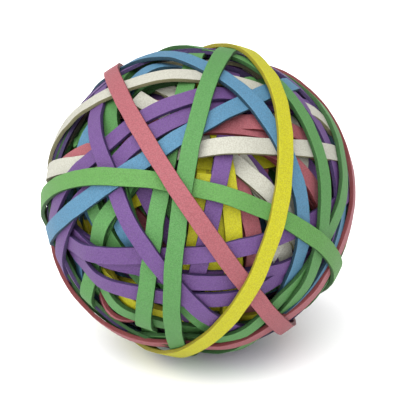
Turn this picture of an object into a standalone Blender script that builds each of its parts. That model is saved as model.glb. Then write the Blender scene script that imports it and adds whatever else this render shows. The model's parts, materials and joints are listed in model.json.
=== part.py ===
"""Rubber band ball: stretched rubber bands wound one over another on a tight core.

Run it with: blender --background --python part.py
Units are metres, +Z is up, and the origin is the middle of the ball. The ball's face looks
along -Y and leans back a little, and every band is placed by how it crosses that face.
"""

import math
from typing import NamedTuple

import bmesh
import bpy
import numpy as np
from mathutils import Matrix, Vector

# Driving dimensions
WOUND_RADIUS = 0.0288
BAND_WIDTH = 0.0032
BAND_THICKNESS = 0.00055
SEAT_GAP = 0.00025
FACE_LEAN = math.radians(22)

# The core fills what the bands leave inside, and its radius is at most this share of theirs
CORE_FILL = 0.95
CORE_SUBDIVISIONS = 4

# How finely a loop is made, and how closely it feels the bands that it crosses
LOOP_STEPS = 36
FEELS_PER_STEP = 8
FEELS_ACROSS = 5
SIDE_CLEARANCE = 0.0002

# How the wound bands share the room at a crossing: the pull of a band's own tension, the pull
# back to its own depth, and how much of a pile goes out instead of sinking in
EASING_PASSES = 300
PRESSING_ROUNDS = 3
PRESSING_PASSES = 80
CLEARING_ROUNDS = 4
CLEARING_PASSES = 120
TENSION = 0.10
GIVE = 0.05
PRESS = 0.05
OUTWARD_SHARE = 0.2
GROWTH_PER_BAND = 0.00003

TURN = 2 * math.pi


class Rubber(NamedTuple):
    """A rubber colour, as linear red, green and blue, and how rough it is."""

    colour: tuple
    roughness: float


RUBBERS = {
    "yellow": Rubber((0.72, 0.66, 0.03), 0.62),
    "pink": Rubber((0.66, 0.17, 0.23), 0.62),
    "green": Rubber((0.17, 0.50, 0.15), 0.62),
    "light_green": Rubber((0.24, 0.55, 0.20), 0.62),
    "purple": Rubber((0.26, 0.12, 0.42), 0.62),
    "blue": Rubber((0.10, 0.34, 0.58), 0.62),
    "cream": Rubber((0.80, 0.78, 0.64), 0.62),
    "core": Rubber((0.10, 0.08, 0.11), 0.75),
}


class Band(NamedTuple):
    """One band, by how it crosses the ball's face.

    side is the direction, in degrees from the right and up over the top, in which the loop's
    nearest pass lies from the middle of the face. reach is how far off that pass is, in degrees
    round the ball. drift is how far the loop has slid off the ball's widest line, in degrees.
    """

    name: str
    rubber: str
    side: float
    reach: float
    drift: float = 0.0


# In the order of winding: the first lies on the core, and the last is on top of all
BANDS = (
    Band("purple_band_8", "purple", 52, 49),
    Band("green_band_11", "green", -78, 52),
    Band("pink_band_6", "pink", -130, 74),
    Band("blue_band_3", "blue", -153, 34),
    Band("green_band_10", "green", -148, 42),
    Band("cream_band_5", "cream", -24, 39),
    Band("pink_band_5", "pink", 62, 34),
    Band("yellow_band_5", "yellow", 0, 8),
    Band("yellow_band_4", "yellow", -8, 1),
    Band("cream_band_4", "cream", 33, 24),
    Band("pink_band_4", "pink", 14, 18),
    Band("cream_band_3", "cream", 48, 21),
    Band("yellow_band_3", "yellow", 6, 12),
    Band("purple_band_7", "purple", -12, 6),
    Band("green_band_9", "green", 149, 66),
    Band("green_band_8", "green", 92, 60),
    Band("yellow_band_2", "yellow", -116, 57),
    Band("blue_band_4", "blue", 146, 62),
    Band("purple_band_9", "purple", 44, 75),
    Band("green_band_7", "green", -120, 62),
    Band("cream_band_6", "cream", 86, 78),
    Band("pink_band_3", "pink", 92, 30, 3),
    Band("green_band_6", "green", 139, 26),
    Band("green_band_5", "green", -156, 28),
    Band("purple_band_6", "purple", -94, 32),
    Band("purple_band_5", "purple", -90, 36, 4),
    Band("green_band_12", "green", -5, 84),
    Band("purple_band_4", "purple", -82, 20),
    Band("cream_band_2", "cream", 93, 7, 12),
    Band("green_band_4", "green", 170, 5, 9),
    Band("purple_band_3", "purple", 121, 31),
    Band("purple_band_2", "purple", 115, 33, 5),
    Band("purple_band_1", "purple", -148, 24, 2),
    Band("cream_band_1", "cream", 90, 41, 12),
    Band("blue_band_2", "blue", 122, 6, 17),
    Band("blue_band_1", "blue", 22, 46, -8),
    Band("green_band_3", "green", -40, 58),
    Band("green_band_2", "green", 5, 52),
    Band("pink_band_2", "pink", -58, 70),
    Band("light_green_band", "light_green", 76, 20, -16),
    Band("green_band_1", "green", 171, 10, -4),
    Band("pink_band_1", "pink", -146, 5, -1),
    Band("yellow_band_1", "yellow", -14, 31, -2),
)


def clear_scene():
    """Removes whatever the scene starts with."""
    for old in list(bpy.data.objects):
        bpy.data.objects.remove(old)


def rubber_material(name):
    """The matte rubber of that name."""
    material = bpy.data.materials.new(name + "_rubber")
    material.use_nodes = True
    shader = material.node_tree.nodes["Principled BSDF"]
    shader.inputs["Base Color"].default_value = (*RUBBERS[name].colour, 1)
    shader.inputs["Roughness"].default_value = RUBBERS[name].roughness
    shader.inputs["Metallic"].default_value = 0
    return material


def add_object(name, bm, material, parent, rotation):
    """Turns a bmesh into a named object under the ball's face."""
    mesh = bpy.data.meshes.new(name)
    bm.to_mesh(mesh)
    bm.free()
    mesh.shade_smooth()
    mesh.set_sharp_from_angle(angle=math.radians(40))
    mesh.materials.append(material)
    piece = bpy.data.objects.new(name, mesh)
    bpy.context.scene.collection.objects.link(piece)
    piece.parent = parent
    piece.matrix_local = rotation


class Loop:
    """The line that one band takes round the ball: X to its nearest pass, Z to its pole."""

    def __init__(self, band):
        side = math.radians(band.side)
        reach = math.radians(band.reach)
        front = np.array((0, -1, 0))
        out = np.array((math.cos(side), 0, math.sin(side)))
        self.near = math.cos(reach) * front + math.sin(reach) * out
        self.pole = math.cos(reach) * out - math.sin(reach) * front
        self.along = np.cross(self.pole, self.near)
        self.drift = math.radians(band.drift)

    def rotation(self):
        """The loop's own axes, as a matrix."""
        return Matrix(np.column_stack((self.near, self.along, self.pole)).tolist())

    def directions(self, steps, radii, places):
        """Directions out to a band at those radii, in steps along it, places across it."""
        turned = TURN * np.arange(steps)[:, None] / steps
        level = np.cos(turned) * self.near + np.sin(turned) * self.along
        middle = math.cos(self.drift) * level + math.sin(self.drift) * self.pole
        across = math.cos(self.drift) * self.pole - math.sin(self.drift) * level
        spread = middle[:, None] * radii[:, None, None] + places[None, :, None] * across[:, None]
        return spread / np.linalg.norm(spread, axis=2, keepdims=True)

    def sideways(self, directions):
        """How far each direction lies to the side of the loop's line, as an angle."""
        return np.abs(np.arcsin(np.clip(directions @ self.pole, -1, 1)) - self.drift)

    def turned(self, directions):
        """How many steps round the loop each direction lies."""
        angle = np.arctan2(directions @ self.along, directions @ self.near) % TURN
        return angle / TURN * LOOP_STEPS


def corners(turned):
    """The two corners on each side of places on a loop, and each one's share there."""
    step = TURN / LOOP_STEPS
    corner = np.floor(turned).astype(int)
    share = turned - corner
    flat = math.cos(step / 2) / np.cos((share - 0.5) * step)
    return corner % LOOP_STEPS, (corner + 1) % LOOP_STEPS, (1 - share) * flat, share * flat


def read(radii, corner, after, share, share_after):
    """The radius of a loop, or of all of them, at those places."""
    return share * radii[corner] + share_after * radii[after]


def pushed(count, push, corner, after, share, share_after):
    """The most that each corner has to move so that its places move by these pushes."""
    moved = np.zeros(count)
    weight = share**2 + share_after**2
    np.maximum.at(moved, corner, push * share / weight)
    np.maximum.at(moved, after, push * share_after / weight)
    return moved


def touches_of(loops, radii):
    """Every place where one band lies over another: the corners of the upper, then of the lower."""
    steps = LOOP_STEPS * FEELS_PER_STEP
    places = np.linspace(-0.5, 0.5, FEELS_ACROSS) * BAND_WIDTH
    reach = BAND_WIDTH / 2 + SIDE_CLEARANCE
    felt = np.arange(steps) / FEELS_PER_STEP
    over, under = [], []
    for number, loop in enumerate(loops):
        directions = loop.directions(steps, read(radii[number], *corners(felt)), places)
        for other_number, other in enumerate(loops):
            if other is loop:
                continue
            turned = other.turned(directions)
            height = read(radii[other_number], *corners(turned))
            step, place = np.nonzero(other.sideways(directions) * height < reach)
            here = corners(felt[step])
            there = corners(turned[step, place])
            here = (here[0] + number * LOOP_STEPS, here[1] + number * LOOP_STEPS, *here[2:])
            first = other_number * LOOP_STEPS
            there = (there[0] + first, there[1] + first, *there[2:])
            upper, lower = (here, there) if number > other_number else (there, here)
            over.append(upper)
            under.append(lower)
    return [[np.concatenate(parts) for parts in zip(*side)] for side in (over, under)]


def cleared(radii, touches, outward_share):
    """Moves bands that come too close at a crossing apart, and returns their radii."""
    flat = radii.reshape(-1)
    over, under = touches
    short = np.maximum(0, BAND_THICKNESS + SEAT_GAP - read(flat, *over) + read(flat, *under))
    outward = pushed(flat.size, short * outward_share, *over)
    inward = pushed(flat.size, short * (1 - outward_share), *under)
    return (flat + outward - inward).reshape(radii.shape)


def settled_radii(loops):
    """Inner radius of every loop at each of its corners, once the whole winding has settled."""
    depth = (np.arange(len(loops)) - len(loops) / 2) * GROWTH_PER_BAND
    own = np.repeat(WOUND_RADIUS + depth[:, None], LOOP_STEPS, axis=1)
    radii = own.copy()
    touches = touches_of(loops, radii)
    for number in range(EASING_PASSES):
        ease = 1 - number / EASING_PASSES
        straight = (np.roll(radii, 1, axis=1) + np.roll(radii, -1, axis=1)) / 2
        radii += ease * (TENSION * (straight - radii) + GIVE * (own - radii))
        radii = cleared(radii, touches, OUTWARD_SHARE)
    for _ in range(PRESSING_ROUNDS):
        touches = touches_of(loops, radii)
        for _ in range(PRESSING_PASSES):
            radii += PRESS * np.maximum(0, own - radii)
            radii = cleared(radii, touches, 0)
    for _ in range(CLEARING_ROUNDS):
        touches = touches_of(loops, radii)
        for _ in range(CLEARING_PASSES):
            radii = cleared(radii, touches, 0)
    return radii


def core_mesh(loops, radii):
    """What lies inside the bands: a ball, pressed in wherever a band runs deeper."""
    bm = bmesh.new()
    bmesh.ops.create_icosphere(bm, subdivisions=CORE_SUBDIVISIONS, radius=WOUND_RADIUS * CORE_FILL)
    reach = BAND_WIDTH / 2 + max(edge.calc_length() for edge in bm.edges)
    flat = math.cos(TURN / LOOP_STEPS / 2)
    for vertex in bm.verts:
        direction = np.array(vertex.co.normalized())
        room = vertex.co.length
        for loop, loop_radii in zip(loops, radii):
            corner = int(loop.turned(direction))
            deepest = np.take(loop_radii, range(corner - 1, corner + 3), mode="wrap").min() * flat
            if loop.sideways(direction) * deepest < reach:
                room = min(room, deepest - SEAT_GAP)
        vertex.co = vertex.co.normalized() * room
    return bm


def band_mesh(drift, radii):
    """A flat closed band: its cut section is spun round the ball, then drawn to its radii."""
    bm = bmesh.new()
    up = Vector((math.cos(drift), 0, math.sin(drift)))
    across = Vector((-math.sin(drift), 0, math.cos(drift))) * BAND_WIDTH / 2
    inside = up * WOUND_RADIUS
    outside = inside + up * BAND_THICKNESS
    corners = [inside - across, inside + across, outside + across, outside - across]
    verts = [bm.verts.new(corner) for corner in corners]
    edges = [bm.edges.new((verts[i - 1], verts[i])) for i in range(4)]
    bmesh.ops.spin(
        bm, geom=edges, axis=(0, 0, 1), angle=TURN, steps=LOOP_STEPS, use_merge=True
    )
    for vertex in bm.verts:
        turned = math.atan2(vertex.co.y, vertex.co.x) % TURN
        corner = round(turned / TURN * LOOP_STEPS) % LOOP_STEPS
        lift = Matrix.Rotation(turned, 3, "Z") @ up
        vertex.co += lift * (radii[corner] - WOUND_RADIUS)
    bmesh.ops.recalc_face_normals(bm, faces=bm.faces)
    return bm


def main():
    """Settles the winding, then makes each band and the core inside them."""
    clear_scene()
    face = bpy.data.objects.new("ball_face", None)
    bpy.context.scene.collection.objects.link(face)
    face.rotation_euler.x = -FACE_LEAN
    materials = {name: rubber_material(name) for name in RUBBERS}
    loops = [Loop(band) for band in BANDS]
    radii = settled_radii(loops)
    core = core_mesh(loops, radii)
    add_object("inner_wound_core", core, materials["core"], face, Matrix.Identity(4))
    for band, loop, loop_radii in zip(BANDS, loops, radii):
        mesh = band_mesh(loop.drift, loop_radii)
        add_object(band.name, mesh, materials[band.rubber], face, loop.rotation().to_4x4())


main()
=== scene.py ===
"""Looks of a rubber band ball: the bands that show, and the older bands wound inside them.

Everything is in metres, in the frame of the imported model: +Z is up, the middle of the ball is at
the origin, and the face that the photograph shows looks along -Y and leans back a little.
"""

import json
import logging
import math
import random
from dataclasses import dataclass, field
from enum import Enum

import bpy
import numpy as np
from mathutils import Matrix, Vector
from mathutils.bvhtree import BVHTree

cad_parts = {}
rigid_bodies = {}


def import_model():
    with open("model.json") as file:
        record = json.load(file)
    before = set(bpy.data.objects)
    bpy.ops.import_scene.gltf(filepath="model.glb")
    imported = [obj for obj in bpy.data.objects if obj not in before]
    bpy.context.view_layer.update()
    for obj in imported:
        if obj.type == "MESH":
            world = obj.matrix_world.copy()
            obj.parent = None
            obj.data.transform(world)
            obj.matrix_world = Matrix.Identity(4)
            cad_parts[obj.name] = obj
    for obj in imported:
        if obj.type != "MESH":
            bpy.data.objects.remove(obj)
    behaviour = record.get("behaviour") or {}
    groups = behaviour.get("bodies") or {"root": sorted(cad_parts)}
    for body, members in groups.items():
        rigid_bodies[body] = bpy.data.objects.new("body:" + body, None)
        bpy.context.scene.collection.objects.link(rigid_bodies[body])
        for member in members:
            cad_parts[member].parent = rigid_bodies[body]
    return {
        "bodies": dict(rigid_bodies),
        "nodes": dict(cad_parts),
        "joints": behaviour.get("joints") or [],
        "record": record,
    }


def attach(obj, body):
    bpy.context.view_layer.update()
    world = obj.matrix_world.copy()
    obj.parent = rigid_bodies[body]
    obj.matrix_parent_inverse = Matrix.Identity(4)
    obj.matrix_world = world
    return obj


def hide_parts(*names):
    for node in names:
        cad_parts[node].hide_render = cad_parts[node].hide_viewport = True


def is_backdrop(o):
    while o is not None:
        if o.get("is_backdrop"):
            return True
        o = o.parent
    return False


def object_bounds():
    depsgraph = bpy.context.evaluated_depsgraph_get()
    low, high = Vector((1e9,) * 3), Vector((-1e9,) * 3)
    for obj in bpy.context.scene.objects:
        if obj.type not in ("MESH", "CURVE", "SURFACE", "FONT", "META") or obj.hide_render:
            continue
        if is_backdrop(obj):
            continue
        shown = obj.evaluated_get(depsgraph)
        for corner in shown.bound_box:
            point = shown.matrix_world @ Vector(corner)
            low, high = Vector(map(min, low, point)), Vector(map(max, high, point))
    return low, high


BODY = "root"
CORE_NODE = "inner_wound_core"
MIDDLE = (0.0, 0.0, 0.0)
FACE_LEAN = math.radians(22)

log = logging.getLogger("rubber_band_ball")

Colour = tuple[float, float, float]
Place = tuple[float, float, float]
Span = tuple[float, float]
Box = tuple[Vector, Vector]
Socket = bpy.types.NodeSocket


class Rubber(Enum):
    """The colours of rubber in the ball, named as the record's material slots are."""

    YELLOW = "yellow_rubber"
    PINK = "pink_rubber"
    GREEN = "green_rubber"
    LIGHT_GREEN = "light_green_rubber"
    PURPLE = "purple_rubber"
    BLUE = "blue_rubber"
    CREAM = "cream_rubber"
    # The core's near-black finish is painted shade for the deep gaps between the bands, not the
    # colour of its rubber.
    SHADE_CORE = "core_rubber"

    def word(self) -> str:
        """The colour's own word, such as yellow."""
        return self.value.removesuffix("_rubber")


@dataclass(frozen=True)
class RubberFinish:
    """How one colour of rubber looks, in linear colours.

    face is the flat of the band, shade is the fine darker speckle on it, and the third colour is the
    cut edge, which is the darkest: painted shade, darker than the face for the shadow on the band's
    sides.
    """

    face: Colour
    shade: Colour
    shaded_wall: Colour


# Each cut-edge colour is painted shade: far darker than its face, for the shadow on the bands' cut
# sides.
FINISHES = {
    Rubber.YELLOW: RubberFinish(
        face=(0.375, 0.355, 0.001), shade=(0.300, 0.282, 0.001), shaded_wall=(0.20, 0.17, 0.003)
    ),
    Rubber.PINK: RubberFinish(
        face=(0.262, 0.069, 0.083), shade=(0.208, 0.053, 0.064), shaded_wall=(0.13, 0.018, 0.020)
    ),
    Rubber.GREEN: RubberFinish(
        face=(0.060, 0.188, 0.047), shade=(0.046, 0.150, 0.036), shaded_wall=(0.012, 0.060, 0.009)
    ),
    Rubber.LIGHT_GREEN: RubberFinish(
        face=(0.071, 0.204, 0.042), shade=(0.056, 0.163, 0.033), shaded_wall=(0.017, 0.072, 0.012)
    ),
    Rubber.PURPLE: RubberFinish(
        face=(0.095, 0.041, 0.158), shade=(0.076, 0.032, 0.126), shaded_wall=(0.027, 0.012, 0.064)
    ),
    Rubber.BLUE: RubberFinish(
        face=(0.054, 0.155, 0.250), shade=(0.042, 0.124, 0.200), shaded_wall=(0.006, 0.033, 0.056)
    ),
    Rubber.CREAM: RubberFinish(
        face=(0.366, 0.360, 0.306), shade=(0.300, 0.294, 0.248), shaded_wall=(0.14, 0.13, 0.065)
    ),
    # Painted shade: near-black, so that the core seen through the gaps reads as deep shadow.
    Rubber.SHADE_CORE: RubberFinish(
        face=(0.03, 0.02, 0.032), shade=(0.022, 0.015, 0.024), shaded_wall=(0.018, 0.012, 0.018)
    ),
}


@dataclass
class Recipe:
    """The node tree of one material, with the few kinds of node that rubber needs."""

    tree: bpy.types.NodeTree

    def feed(self, socket: Socket, value: Socket | Colour) -> None:
        """Gives a socket another's value, or a colour of its own.

        Args:
            socket: The socket that is fed.
            value: The other socket, or the colour.
        """
        if isinstance(value, Socket):
            self.tree.links.new(value, socket)
        else:
            socket.default_value = (*value, 1)

    def noise(self, place: Socket, scale: float, detail: float) -> Socket:
        """A noise from 0 to 1.

        Args:
            place: The coordinates.
            scale: Its turns per metre.
            detail: How many finer layers it has.

        Returns:
            The socket that gives it.
        """
        node = self.tree.nodes.new("ShaderNodeTexNoise")
        node.inputs["Scale"].default_value = scale
        node.inputs["Detail"].default_value = detail
        self.feed(node.inputs["Vector"], place)
        return node.outputs["Fac"]

    def carried(self, value: Socket, source: Span, result: Span) -> Socket:
        """A value carried from one span over to another, and held at its ends.

        Args:
            value: The value.
            source: The span that it is read in.
            result: What the ends of that span become.

        Returns:
            The socket that gives it.
        """
        node = self.tree.nodes.new("ShaderNodeMapRange")
        node.inputs["From Min"].default_value = source[0]
        node.inputs["From Max"].default_value = source[1]
        node.inputs["To Min"].default_value = result[0]
        node.inputs["To Max"].default_value = result[1]
        self.feed(node.inputs["Value"], value)
        return node.outputs["Result"]

    def mixed(self, share: Socket, first: Socket | Colour, second: Socket | Colour) -> Socket:
        """A colour between two.

        Args:
            share: How much of the second is in it.
            first: The colour at a share of 0.
            second: The colour at a share of 1.

        Returns:
            The socket that gives it.
        """
        node = self.tree.nodes.new("ShaderNodeMix")
        node.data_type = "RGBA"
        self.feed(node.inputs["Factor"], share)
        self.feed(node.inputs["A"], first)
        self.feed(node.inputs["B"], second)
        return node.outputs["Result"]


@dataclass(frozen=True)
class RubberGrain:
    """The fine surface that all the rubber shares, with scales in turns of noise per metre.

    mottle is the darker speckle of the rubber's own colour, dust is the grey bloom on it, and
    grain is the roughness of its skin.
    """

    mottle_scale: float = 4200.0
    mottle_detail: float = 3.0
    mottle_span: Span = (0.42, 0.58)
    dust_scale: float = 5200.0
    dust_detail: float = 2.0
    dust_span: Span = (0.40, 0.65)
    dust_share: float = 0.05
    dust_colour: Colour = (0.42, 0.41, 0.39)
    smooth_roughness: float = 0.50
    dusty_roughness: float = 0.74
    grain_scale: float = 5200.0
    grain_detail: float = 2.0
    grain_depth: float = 0.00012
    gloss: float = 0.25

    def material(self, name: str, face: Colour, shade: Colour) -> bpy.types.Material:
        """Makes the matte, faintly dusty rubber of one colour.

        Args:
            name: The material's name.
            face: Its main colour.
            shade: The colour of its speckle.

        Returns:
            The material.
        """
        material = bpy.data.materials.new(name)
        material.use_nodes = True
        nodes = material.node_tree.nodes
        shader = nodes["Principled BSDF"]
        recipe = Recipe(material.node_tree)
        place = nodes.new("ShaderNodeTexCoord").outputs["Object"]
        mottle = recipe.noise(place, self.mottle_scale, self.mottle_detail)
        dust = recipe.noise(place, self.dust_scale, self.dust_detail)
        grain = recipe.noise(place, self.grain_scale, self.grain_detail)
        clean = recipe.mixed(recipe.carried(mottle, self.mottle_span, (0.0, 1.0)), shade, face)
        dusting = recipe.carried(dust, self.dust_span, (0.0, self.dust_share))
        recipe.feed(shader.inputs["Base Color"], recipe.mixed(dusting, clean, self.dust_colour))
        rough = recipe.carried(dust, (0.0, 1.0), (self.smooth_roughness, self.dusty_roughness))
        recipe.feed(shader.inputs["Roughness"], rough)
        bump = nodes.new("ShaderNodeBump")
        bump.inputs["Distance"].default_value = self.grain_depth
        recipe.feed(bump.inputs["Height"], grain)
        recipe.feed(shader.inputs["Normal"], bump.outputs["Normal"])
        shader.inputs["Specular IOR Level"].default_value = self.gloss
        return material


@dataclass
class Wardrobe:
    """The face materials, and the cut materials darkened as painted shade, of every colour of
    rubber, each made once.

    cut_turn is how far a face looks away from straight outward where the cut edge, with its painted
    shade, begins.
    """

    grain: RubberGrain
    cut_turn: float = math.radians(60)
    faces: dict[Rubber, bpy.types.Material] = field(default_factory=dict)
    shaded_walls: dict[Rubber, bpy.types.Material] = field(default_factory=dict)

    def __post_init__(self) -> None:
        """Makes the materials from the shared grain."""
        for rubber, finish in FINISHES.items():
            word = rubber.word()
            self.faces[rubber] = self.grain.material(word + "_band_face", finish.face, finish.shade)
            # The cut material is painted shade: its colour is darker for the shadow on the bands'
            # sides.
            self.shaded_walls[rubber] = self.grain.material(word + "_band_shaded_cut", finish.shaded_wall, finish.shaded_wall)

    def dress(self, piece: bpy.types.Object, rubber: Rubber) -> None:
        """Gives a band its face material, and its cut material, darkened as painted shade, on the
        faces that look sideways.

        Args:
            piece: The band, as a mesh whose place is in its vertices.
            rubber: Its colour.
        """
        piece.data.materials.clear()
        piece.data.materials.append(self.faces[rubber])
        piece.data.materials.append(self.shaded_walls[rubber])
        for face in piece.data.polygons:
            outward = abs(face.normal.dot(face.center.normalized()))
            # Sideways faces take the cut material, whose darker colour is painted shade.
            face.material_index = int(outward < math.cos(self.cut_turn))


def deselect() -> None:
    """Leaves edit mode and deselects every object."""
    if bpy.context.mode != "OBJECT":
        bpy.ops.object.mode_set(mode="OBJECT")
    bpy.ops.object.select_all(action="DESELECT")


def activate(piece: bpy.types.Object) -> None:
    """Makes one object the selected and active one.

    Args:
        piece: The object.
    """
    deselect()
    piece.select_set(True)
    bpy.context.view_layer.objects.active = piece


def enter_edit(piece: bpy.types.Object, select: str, action: str) -> None:
    """Opens one object in edit mode.

    Args:
        piece: The object.
        select: VERT, EDGE or FACE.
        action: SELECT or DESELECT, for all that it holds.
    """
    activate(piece)
    bpy.ops.object.mode_set(mode="EDIT")
    bpy.ops.mesh.select_mode(type=select)
    bpy.ops.mesh.select_all(action=action)


def leave_edit() -> None:
    """Closes edit mode."""
    bpy.ops.object.mode_set(mode="OBJECT")


def apply_modifier(piece: bpy.types.Object, kind: str, **settings: object) -> None:
    """Adds one modifier and applies it.

    Args:
        piece: The object, which becomes the active one.
        kind: The modifier's type, such as SOLIDIFY.
        settings: Its values.
    """
    activate(piece)
    modifier = piece.modifiers.new(kind.lower(), kind)
    for name, value in settings.items():
        setattr(modifier, name, value)
    bpy.ops.object.modifier_apply(modifier=modifier.name)


def corners_of(piece: bpy.types.Object) -> np.ndarray:
    """The places of an object's vertices.

    Args:
        piece: The object, as a mesh.

    Returns:
        One place to a row.
    """
    places = np.empty(len(piece.data.vertices) * 3)
    piece.data.vertices.foreach_get("co", places)
    return places.reshape(-1, 3)


@dataclass
class OuterBand:
    """A band that shows: the CAD band with rounded cut edges and a slight wander.

    seat is how far its underside is drawn in, which is the CAD's gap where bands cross. A face is
    of the underside where its normal, taken along the way outward, is under underside_below.
    """

    node: bpy.types.Object
    rubber: Rubber
    weld_gap: float = 0.000001
    quad_turn: float = math.radians(8)
    quad_skew: float = math.radians(20)
    seat: float = 0.00025
    underside_below: float = -0.5
    sharp_turn: float = math.radians(60)
    edge_radius: float = 0.00013
    edge_segments: int = 2
    edge_profile: float = 0.6
    smoothing: int = 2

    def build(self, wander: bpy.types.Texture, wander_by: float) -> bpy.types.Object:
        """Models the band from its CAD solid.

        Args:
            wander: The texture by which all the bands wander a little together.
            wander_by: How far they wander.

        Returns:
            The band's own object, at the origin.
        """
        piece = bpy.data.objects.new(self.node.name + "_strip", self.node.data.copy())
        bpy.context.scene.collection.objects.link(piece)
        enter_edit(piece, "VERT", "SELECT")
        bpy.ops.mesh.remove_doubles(threshold=self.weld_gap)
        bpy.ops.mesh.tris_convert_to_quads(
            face_threshold=self.quad_turn, shape_threshold=self.quad_skew
        )
        leave_edit()
        self._draw_in_underside(piece)
        enter_edit(piece, "EDGE", "DESELECT")
        bpy.ops.mesh.edges_select_sharp(sharpness=self.sharp_turn)
        bpy.ops.mesh.bevel(
            offset=self.edge_radius, segments=self.edge_segments, profile=self.edge_profile
        )
        leave_edit()
        apply_modifier(piece, "SUBSURF", levels=self.smoothing, render_levels=self.smoothing)
        apply_modifier(
            piece, "DISPLACE", texture=wander, texture_coords="LOCAL",
            direction="RGB_TO_XYZ", strength=wander_by, mid_level=0.5,
        )
        activate(piece)
        bpy.ops.object.shade_smooth()
        return piece

    def _draw_in_underside(self, piece: bpy.types.Object) -> None:
        """Draws the underside in towards the middle, so that the band touches what it crosses.

        Args:
            piece: The band's own object.
        """
        enter_edit(piece, "FACE", "DESELECT")
        leave_edit()
        underside = []
        for face in piece.data.polygons:
            if face.normal.dot(face.center.normalized()) < self.underside_below:
                face.select = True
                underside.append(face.center.length)
        share = 1 - self.seat / (sum(underside) / len(underside))
        bpy.ops.object.mode_set(mode="EDIT")
        bpy.ops.transform.resize(value=(share, share, share), center_override=MIDDLE)
        leave_edit()


@dataclass(frozen=True)
class InnerBand:
    """One band of the inner winding, by the direction square to its loop, and its colour."""

    pole: Vector
    rubber: Rubber

    @classmethod
    def across_face(cls, rubber: Rubber, side: float, reach: float) -> "InnerBand":
        """A band by how it crosses the face that the photograph shows.

        Args:
            rubber: Its colour.
            side: Where its nearest pass lies from the face's middle, in degrees from the right
                and up over the top.
            reach: How far off that pass is, in degrees round the ball.

        Returns:
            The band.
        """
        side = math.radians(side)
        reach = math.radians(reach)
        out = Vector((math.cos(side), 0, math.sin(side)))
        pole = out * math.cos(reach) + Vector((0, 1, 0)) * math.sin(reach)
        return cls(Matrix.Rotation(-FACE_LEAN, 3, "X") @ pole, rubber)


def bands_across_face(*crossings: tuple[Rubber, float, float]) -> list[InnerBand]:
    """Several inner bands, each by its colour, side and reach, as InnerBand.across_face has them."""
    return [InnerBand.across_face(rubber, side, reach) for rubber, side, reach in crossings]


@dataclass(frozen=True)
class GuideSizes:
    """How a guide for the inner bands is made, and how it gives way under them.

    A CAD band is passed over where it lies under buried_under. clearance is kept under the others.
    slope is the steepest that the guide may rise, as height over length.
    """

    subdivisions: int = 6
    buried_under: float = 0.0266
    clearance: float = 0.0002
    slope: float = 0.8
    slope_passes: int = 30
    press_passes: int = 6
    smooth_passes: int = 6
    icosahedron_edge: float = math.radians(63.4)


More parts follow.
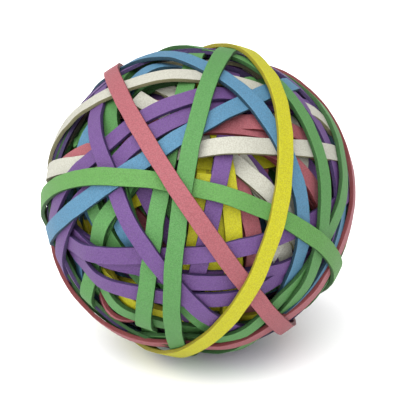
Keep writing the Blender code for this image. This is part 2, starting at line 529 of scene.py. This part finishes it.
class Guide:
    """The surface that the inner bands are laid on, just under whatever is already there."""

    def __init__(
        self, name: str, sizes: GuideSizes, bands: list[bpy.types.Object], radius: float
    ) -> None:
        """Makes a ball and presses it in under the bands.

        Args:
            name: The guide's name.
            sizes: How it is made.
            bands: The CAD bands, or none.
            radius: The ball's radius where no band is over it.
        """
        self.sizes = sizes
        self.radius = radius
        deselect()
        bpy.ops.mesh.primitive_ico_sphere_add(
            subdivisions=sizes.subdivisions, radius=radius, location=MIDDLE
        )
        self.piece = bpy.context.object
        self.piece.name = name
        self.directions = corners_of(self.piece) / radius
        edges = np.empty(len(self.piece.data.edges) * 2, int)
        self.piece.data.edges.foreach_get("vertices", edges)
        self.first, self.second = edges.reshape(-1, 2).T
        self.neighbours = np.bincount(edges, minlength=len(self.directions))
        spacing = radius * sizes.icosahedron_edge / 2 ** (sizes.subdivisions - 1)
        self.rise = sizes.slope * spacing
        self.heights = self._under(bands)
        self._ease(sizes.slope_passes)

    def _under(self, bands: list[bpy.types.Object]) -> np.ndarray:
        """How far out the lowest band lies in each direction, passing over the buried ones.

        Args:
            bands: The CAD bands, or none.

        Returns:
            A height for each of the guide's directions, which is its radius where no band lies.
        """
        found = np.full(len(self.directions), self.radius)
        if not bands:
            return found
        points: list[Vector] = []
        faces: list[list[int]] = []
        for band in bands:
            first = len(points)
            points.extend(vertex.co for vertex in band.data.vertices)
            faces.extend([first + index for index in face.vertices] for face in band.data.polygons)
        tree = BVHTree.FromPolygons(points, faces)
        buried = self.sizes.buried_under
        for number, direction in enumerate(self.directions):
            distance = tree.ray_cast(Vector(direction * buried), Vector(direction))[3]
            if distance is not None:
                found[number] = min(self.radius, buried + distance - self.sizes.clearance)
        return found

    def _ease(self, passes: int) -> None:
        """Eases the steps of the heights to gentle slopes, never above them, and shapes the ball.

        Args:
            passes: How many times each slope may run on to the next corner.
        """
        ceiling = self.heights
        heights = ceiling.copy()
        for _ in range(passes):
            lower = heights.copy()
            np.minimum.at(lower, self.first, heights[self.second] + self.rise)
            np.minimum.at(lower, self.second, heights[self.first] + self.rise)
            heights = lower
        for _ in range(self.sizes.smooth_passes):
            total = np.bincount(self.first, heights[self.second], len(heights))
            total += np.bincount(self.second, heights[self.first], len(heights))
            heights = np.minimum(ceiling, total / self.neighbours)
        self.heights = heights
        self.piece.data.vertices.foreach_set("co", (self.directions * heights[:, None]).ravel())
        self.piece.data.update()

    def press_under(self, band: InnerBand, width: float, thickness: float) -> None:
        """Presses the guide in under a band that was just laid on it.

        Args:
            band: The band.
            width: The band's width.
            thickness: The band's thickness, which is how far the guide is pressed in.
        """
        sideways = np.abs(self.directions @ np.array(band.pole)) * self.heights
        below = self.heights - thickness
        self.heights = np.where(sideways < width / 2, below, self.heights)
        self._ease(self.sizes.press_passes)

    def discard(self) -> None:
        """Deletes the guide once nothing more is laid on it."""
        activate(self.piece)
        bpy.ops.object.delete()

    def finish(self, share: float, wardrobe: Wardrobe) -> bpy.types.Object:
        """Shrinks the guide to the lump under the inner bands, near-black as painted shade for the
        deep gaps.

        Args:
            share: How large the lump is beside the guide.
            wardrobe: The materials.

        Returns:
            The lump.
        """
        enter_edit(self.piece, "VERT", "SELECT")
        bpy.ops.transform.resize(value=(share, share, share), center_override=MIDDLE)
        leave_edit()
        activate(self.piece)
        bpy.ops.object.shade_smooth()
        # The core's near-black finish is painted shade.
        wardrobe.dress(self.piece, Rubber.SHADE_CORE)
        return self.piece


@dataclass
class InnerWinding:
    """The older bands under the ones that show: they fill every gap, and make the ball dense.

    A strip starts at start_radius and is drawn in onto a guide. rim_hoops stand near the edge of
    the face that the photograph shows and close the slots between the outer bands there, on a
    round guide of rim_radius. seen_between are the bands that the photograph shows in the gaps.
    Both lists were placed one by one. A CAD band is laid again with them where its mean height is
    under near_surface. mix says how often each colour may fall on one of the hidden bands.
    """

    guide_sizes: GuideSizes = GuideSizes()
    band_width: float = 0.0031
    thickness: float = 0.0006
    steps: int = 120
    start_radius: float = 0.0305
    widest: float = 0.0292
    rim_radius: float = 0.0288
    near_surface: float = 0.0270
    heart_share: float = 0.985
    smooth_below: float = math.radians(40)
    hidden_count: int = 60
    seed: int = 12
    mix: dict[Rubber, int] = field(default_factory=lambda: {
        Rubber.GREEN: 6,
        Rubber.PURPLE: 5,
        Rubber.PINK: 3,
        Rubber.BLUE: 3,
        Rubber.CREAM: 2,
        Rubber.YELLOW: 2,
    })
    rim_hoops: list[InnerBand] = field(default_factory=lambda: bands_across_face(
        (Rubber.PURPLE, 43, 82),
        (Rubber.PURPLE, 105, 78),
        (Rubber.GREEN, 157, 81),
        (Rubber.PURPLE, -177, 76),
        (Rubber.GREEN, -127, 77),
        (Rubber.BLUE, -33, 69),
        (Rubber.PURPLE, 12, 65),
    ))
    seen_between: list[InnerBand] = field(default_factory=lambda: bands_across_face(
        (Rubber.CREAM, -13, 37),
        (Rubber.PURPLE, 40, 27),
        (Rubber.PURPLE, -149, 18),
        (Rubber.GREEN, -165, 12),
        (Rubber.PURPLE, 5, 77),
        (Rubber.PINK, -4, 82),
        (Rubber.GREEN, -42, 48),
        (Rubber.YELLOW, 40, 50),
        (Rubber.BLUE, -115, 37),
        (Rubber.PURPLE, 115, 80),
        (Rubber.PURPLE, 6, 64),
        (Rubber.YELLOW, -2, 60),
        (Rubber.PURPLE, 46, 80),
        (Rubber.CREAM, 40, 66),
        (Rubber.GREEN, 155, 74),
        (Rubber.BLUE, 152, 64),
        (Rubber.CREAM, 94, 74),
    ))

    def build(
        self, bands: dict[bpy.types.Object, Rubber], wardrobe: Wardrobe
    ) -> list[bpy.types.Object]:
        """Winds the inner bands on a guide that follows the underside of the outer ones.

        Args:
            bands: The CAD bands and their colours.
            wardrobe: The materials.

        Returns:
            One object for each colour, and the heart inside them, near-black as painted shade.
        """
        guide = Guide("inner_shaded_heart", self.guide_sizes, list(bands), self.widest)
        rim_guide = Guide("rim_guide", self.guide_sizes, [], self.rim_radius)
        wound = self._wind(rim_guide, self.rim_hoops)
        rim_guide.discard()
        wound += self._wind(guide, self._sunk(bands) + self.seen_between + self._hidden())
        by_rubber: dict[Rubber, list[bpy.types.Object]] = {}
        for rubber, strip in wound:
            by_rubber.setdefault(rubber, []).append(strip)
        pieces = [self._joined(rubber, strips) for rubber, strips in by_rubber.items()]
        for piece, rubber in zip(pieces, by_rubber):
            wardrobe.dress(piece, rubber)
        pieces.append(guide.finish(self.heart_share, wardrobe))
        return pieces

    def _wind(self, guide: Guide, bands: list[InnerBand]) -> list[tuple[Rubber, bpy.types.Object]]:
        """Lays bands on a guide, each under the one before.

        Args:
            guide: The guide, which is pressed in under each band.
            bands: The bands, the highest first.

        Returns:
            Each band's colour and its strip.
        """
        wound = []
        for band in bands:
            wound.append((band.rubber, self._strip(guide, band)))
            guide.press_under(band, self.band_width, self.thickness)
        return wound

    def _sunk(self, bands: dict[bpy.types.Object, Rubber]) -> list[InnerBand]:
        """The loops of the CAD bands that run deep.

        Args:
            bands: The CAD bands and their colours.

        Returns:
            An inner band for each, the highest first.
        """
        found = []
        for band, rubber in bands.items():
            corners = corners_of(band)
            height = np.linalg.norm(corners, axis=1).mean()
            if height < self.near_surface:
                # A loop's corners spread least in the direction square to it, which comes last.
                directions = np.linalg.svd(corners, full_matrices=False)[2]
                found.append((height, InnerBand(Vector(directions[2]), rubber)))
        found.sort(key=lambda pair: -pair[0])
        return [band for _, band in found]

    def _hidden(self) -> list[InnerBand]:
        """The deeper bands, spread evenly round the ball, with their colours by chance.

        Returns:
            The bands, in an order that chance gives too.
        """
        chance = random.Random(self.seed)
        golden_angle = math.pi * (3 - math.sqrt(5))
        poles = []
        for number in range(self.hidden_count):
            height = (number + 0.5) / self.hidden_count
            level = math.sqrt(1 - height * height)
            turn = golden_angle * number
            poles.append(Vector((level * math.cos(turn), level * math.sin(turn), height)))
        chance.shuffle(poles)
        colours = [rubber for rubber, count in self.mix.items() for _ in range(count)]
        return [InnerBand(pole, chance.choice(colours)) for pole in poles]

    def _strip(self, guide: Guide, band: InnerBand) -> bpy.types.Object:
        """Models one band and lays it on a guide.

        Args:
            guide: The guide.
            band: The band.

        Returns:
            The band's strip.
        """
        deselect()
        bpy.ops.mesh.primitive_cylinder_add(
            vertices=self.steps, radius=self.start_radius, depth=self.band_width,
            end_fill_type="NOTHING", location=MIDDLE,
            rotation=band.pole.to_track_quat("Z", "Y").to_euler(),
        )
        strip = bpy.context.object
        bpy.ops.object.transform_apply(location=False, rotation=True, scale=False)
        apply_modifier(
            strip, "SHRINKWRAP", target=guide.piece, wrap_method="PROJECT",
            use_positive_direction=False, use_negative_direction=True,
        )
        apply_modifier(strip, "SOLIDIFY", thickness=self.thickness, offset=-1)
        return strip

    def _joined(self, rubber: Rubber, strips: list[bpy.types.Object]) -> bpy.types.Object:
        """Joins the inner bands of one colour.

        Args:
            rubber: Their colour.
            strips: Their strips.

        Returns:
            All of them as one object.
        """
        activate(strips[0])
        for strip in strips:
            strip.select_set(True)
        bpy.ops.object.join()
        piece = bpy.context.object
        piece.name = f"inner_{rubber.word()}_bands"
        bpy.ops.object.shade_smooth_by_angle(angle=self.smooth_below)
        return piece


@dataclass
class BandBall:
    """The whole ball: its outer bands, and the inner winding that fills the gaps."""

    wander_size: float = 0.007
    wander_by: float = 0.0005

    def build(self, frame: dict) -> list[bpy.types.Object]:
        """Builds and dresses every piece, and ties each to the frame.


        Returns:
            The pieces.
        """
        wardrobe = Wardrobe(RubberGrain())
        wander = bpy.data.textures.new("band_wander", "CLOUDS")
        wander.noise_scale = self.wander_size
        wander.cloud_type = "COLOR"
        slots = {part["node"]: part["material_slot"] for part in frame["record"]["subparts"]}
        nodes = frame["nodes"]
        bands = {nodes[name]: Rubber(slots[name]) for name in nodes if name != CORE_NODE}
        pieces = InnerWinding().build(bands, wardrobe)
        for piece in pieces:
            self._tie(piece, CORE_NODE)
        for node, rubber in bands.items():
            piece = OuterBand(node, rubber).build(wander, self.wander_by)
            wardrobe.dress(piece, rubber)
            self._tie(piece, node.name)
            pieces.append(piece)
        return pieces

    @staticmethod
    def _tie(piece: bpy.types.Object, node_name: str) -> None:
        """Ties a finished piece to the ball's body, and hides the CAD node that it dresses."""
        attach(piece, BODY)
        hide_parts(node_name)


@dataclass
class Studio:
    """A plain white floor, soft light, and a camera where the photograph's was.

    camera_radii is how far off the camera stands, in radii of the ball. The sizes in px are the
    photograph's.
    """

    floor_side: float = 4.0
    floor_white: float = 0.97
    floor_roughness: float = 0.9
    floor_gloss: float = 0.1
    room_light: float = 0.85
    key_light: float = 95.0
    key_side: float = 3.0
    key_place: Place = (-0.55, -0.95, 1.50)
    photo_side_px: float = 400.0
    ball_middle_px: float = 197.3
    ball_radius_px: float = 158.0
    camera_radii: float = 14.0
    camera_near: float = 0.01
    sensor: float = 36.0

    def build(self, box: Box) -> None:
        """Sets the stage round the ball.

        Args:
            box: The ball's lowest and highest corners.
        """
        low, high = box
        middle = (low + high) / 2
        radius = max(high - low) / 2
        self._floor(low.z)
        self._camera(middle, radius)
        self._lights(middle)
        bpy.context.scene.view_settings.view_transform = "Standard"

    def _floor(self, height: float) -> None:
        """Lays a wide white floor that fills the whole view.

        Args:
            height: Where it lies.
        """
        deselect()
        bpy.ops.mesh.primitive_plane_add(size=self.floor_side, location=(0, 0, height))
        floor = bpy.context.object
        floor.name = "studio_floor"
        bpy.ops.object.transform_apply(location=True, rotation=False, scale=False)
        material = bpy.data.materials.new("studio_white")
        material.use_nodes = True
        shader = material.node_tree.nodes["Principled BSDF"]
        shader.inputs["Base Color"].default_value = (self.floor_white,) * 3 + (1,)
        shader.inputs["Roughness"].default_value = self.floor_roughness
        shader.inputs["Specular IOR Level"].default_value = self.floor_gloss
        floor.data.materials.append(material)
        floor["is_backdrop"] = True

    def _camera(self, middle: Vector, radius: float) -> None:
        """Sets up a long lens that sees the ball as large as the photograph does.

        Args:
            middle: The ball's middle.
            radius: The ball's radius.
        """
        camera = bpy.data.objects.new("photo_camera", bpy.data.cameras.new("photo_camera"))
        bpy.context.scene.collection.objects.link(camera)
        back = Vector((0, -math.cos(FACE_LEAN), math.sin(FACE_LEAN)))
        camera.location = middle + back * radius * self.camera_radii
        camera.rotation_euler = (-back).to_track_quat("-Z", "Y").to_euler()
        focal_px = self.ball_radius_px * math.sqrt(self.camera_radii**2 - 1)
        camera.data.sensor_width = self.sensor
        camera.data.lens = focal_px * self.sensor / self.photo_side_px
        camera.data.shift_x = (self.photo_side_px / 2 - self.ball_middle_px) / self.photo_side_px
        camera.data.clip_start = self.camera_near
        bpy.context.scene.camera = camera

    def _lights(self, middle: Vector) -> None:
        """Makes a bright white room, with a large soft light up to the left of the camera.

        Args:
            middle: The ball's middle, which the light points at.
        """
        world = bpy.data.worlds.new("white_room")
        world.use_nodes = True
        background = world.node_tree.nodes["Background"]
        background.inputs["Color"].default_value = (1, 1, 1, 1)
        background.inputs["Strength"].default_value = self.room_light
        bpy.context.scene.world = world
        light = bpy.data.lights.new("key_light", "AREA")
        light.size = self.key_side
        light.energy = self.key_light
        lamp = bpy.data.objects.new("key_light", light)
        lamp.location = middle + Vector(self.key_place)
        lamp.rotation_euler = (-Vector(self.key_place)).to_track_quat("-Z", "Y").to_euler()
        bpy.context.scene.collection.objects.link(lamp)


def main() -> None:
    """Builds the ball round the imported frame, then sets the stage."""
    logging.basicConfig(level=logging.INFO, format="%(message)s")
    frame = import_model()
    cad_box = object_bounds()
    for piece in BandBall().build(frame):
        log.info("%s: %d faces", piece.name, len(piece.data.polygons))
    Studio().build(cad_box)


if __name__ == "__main__":
    main()
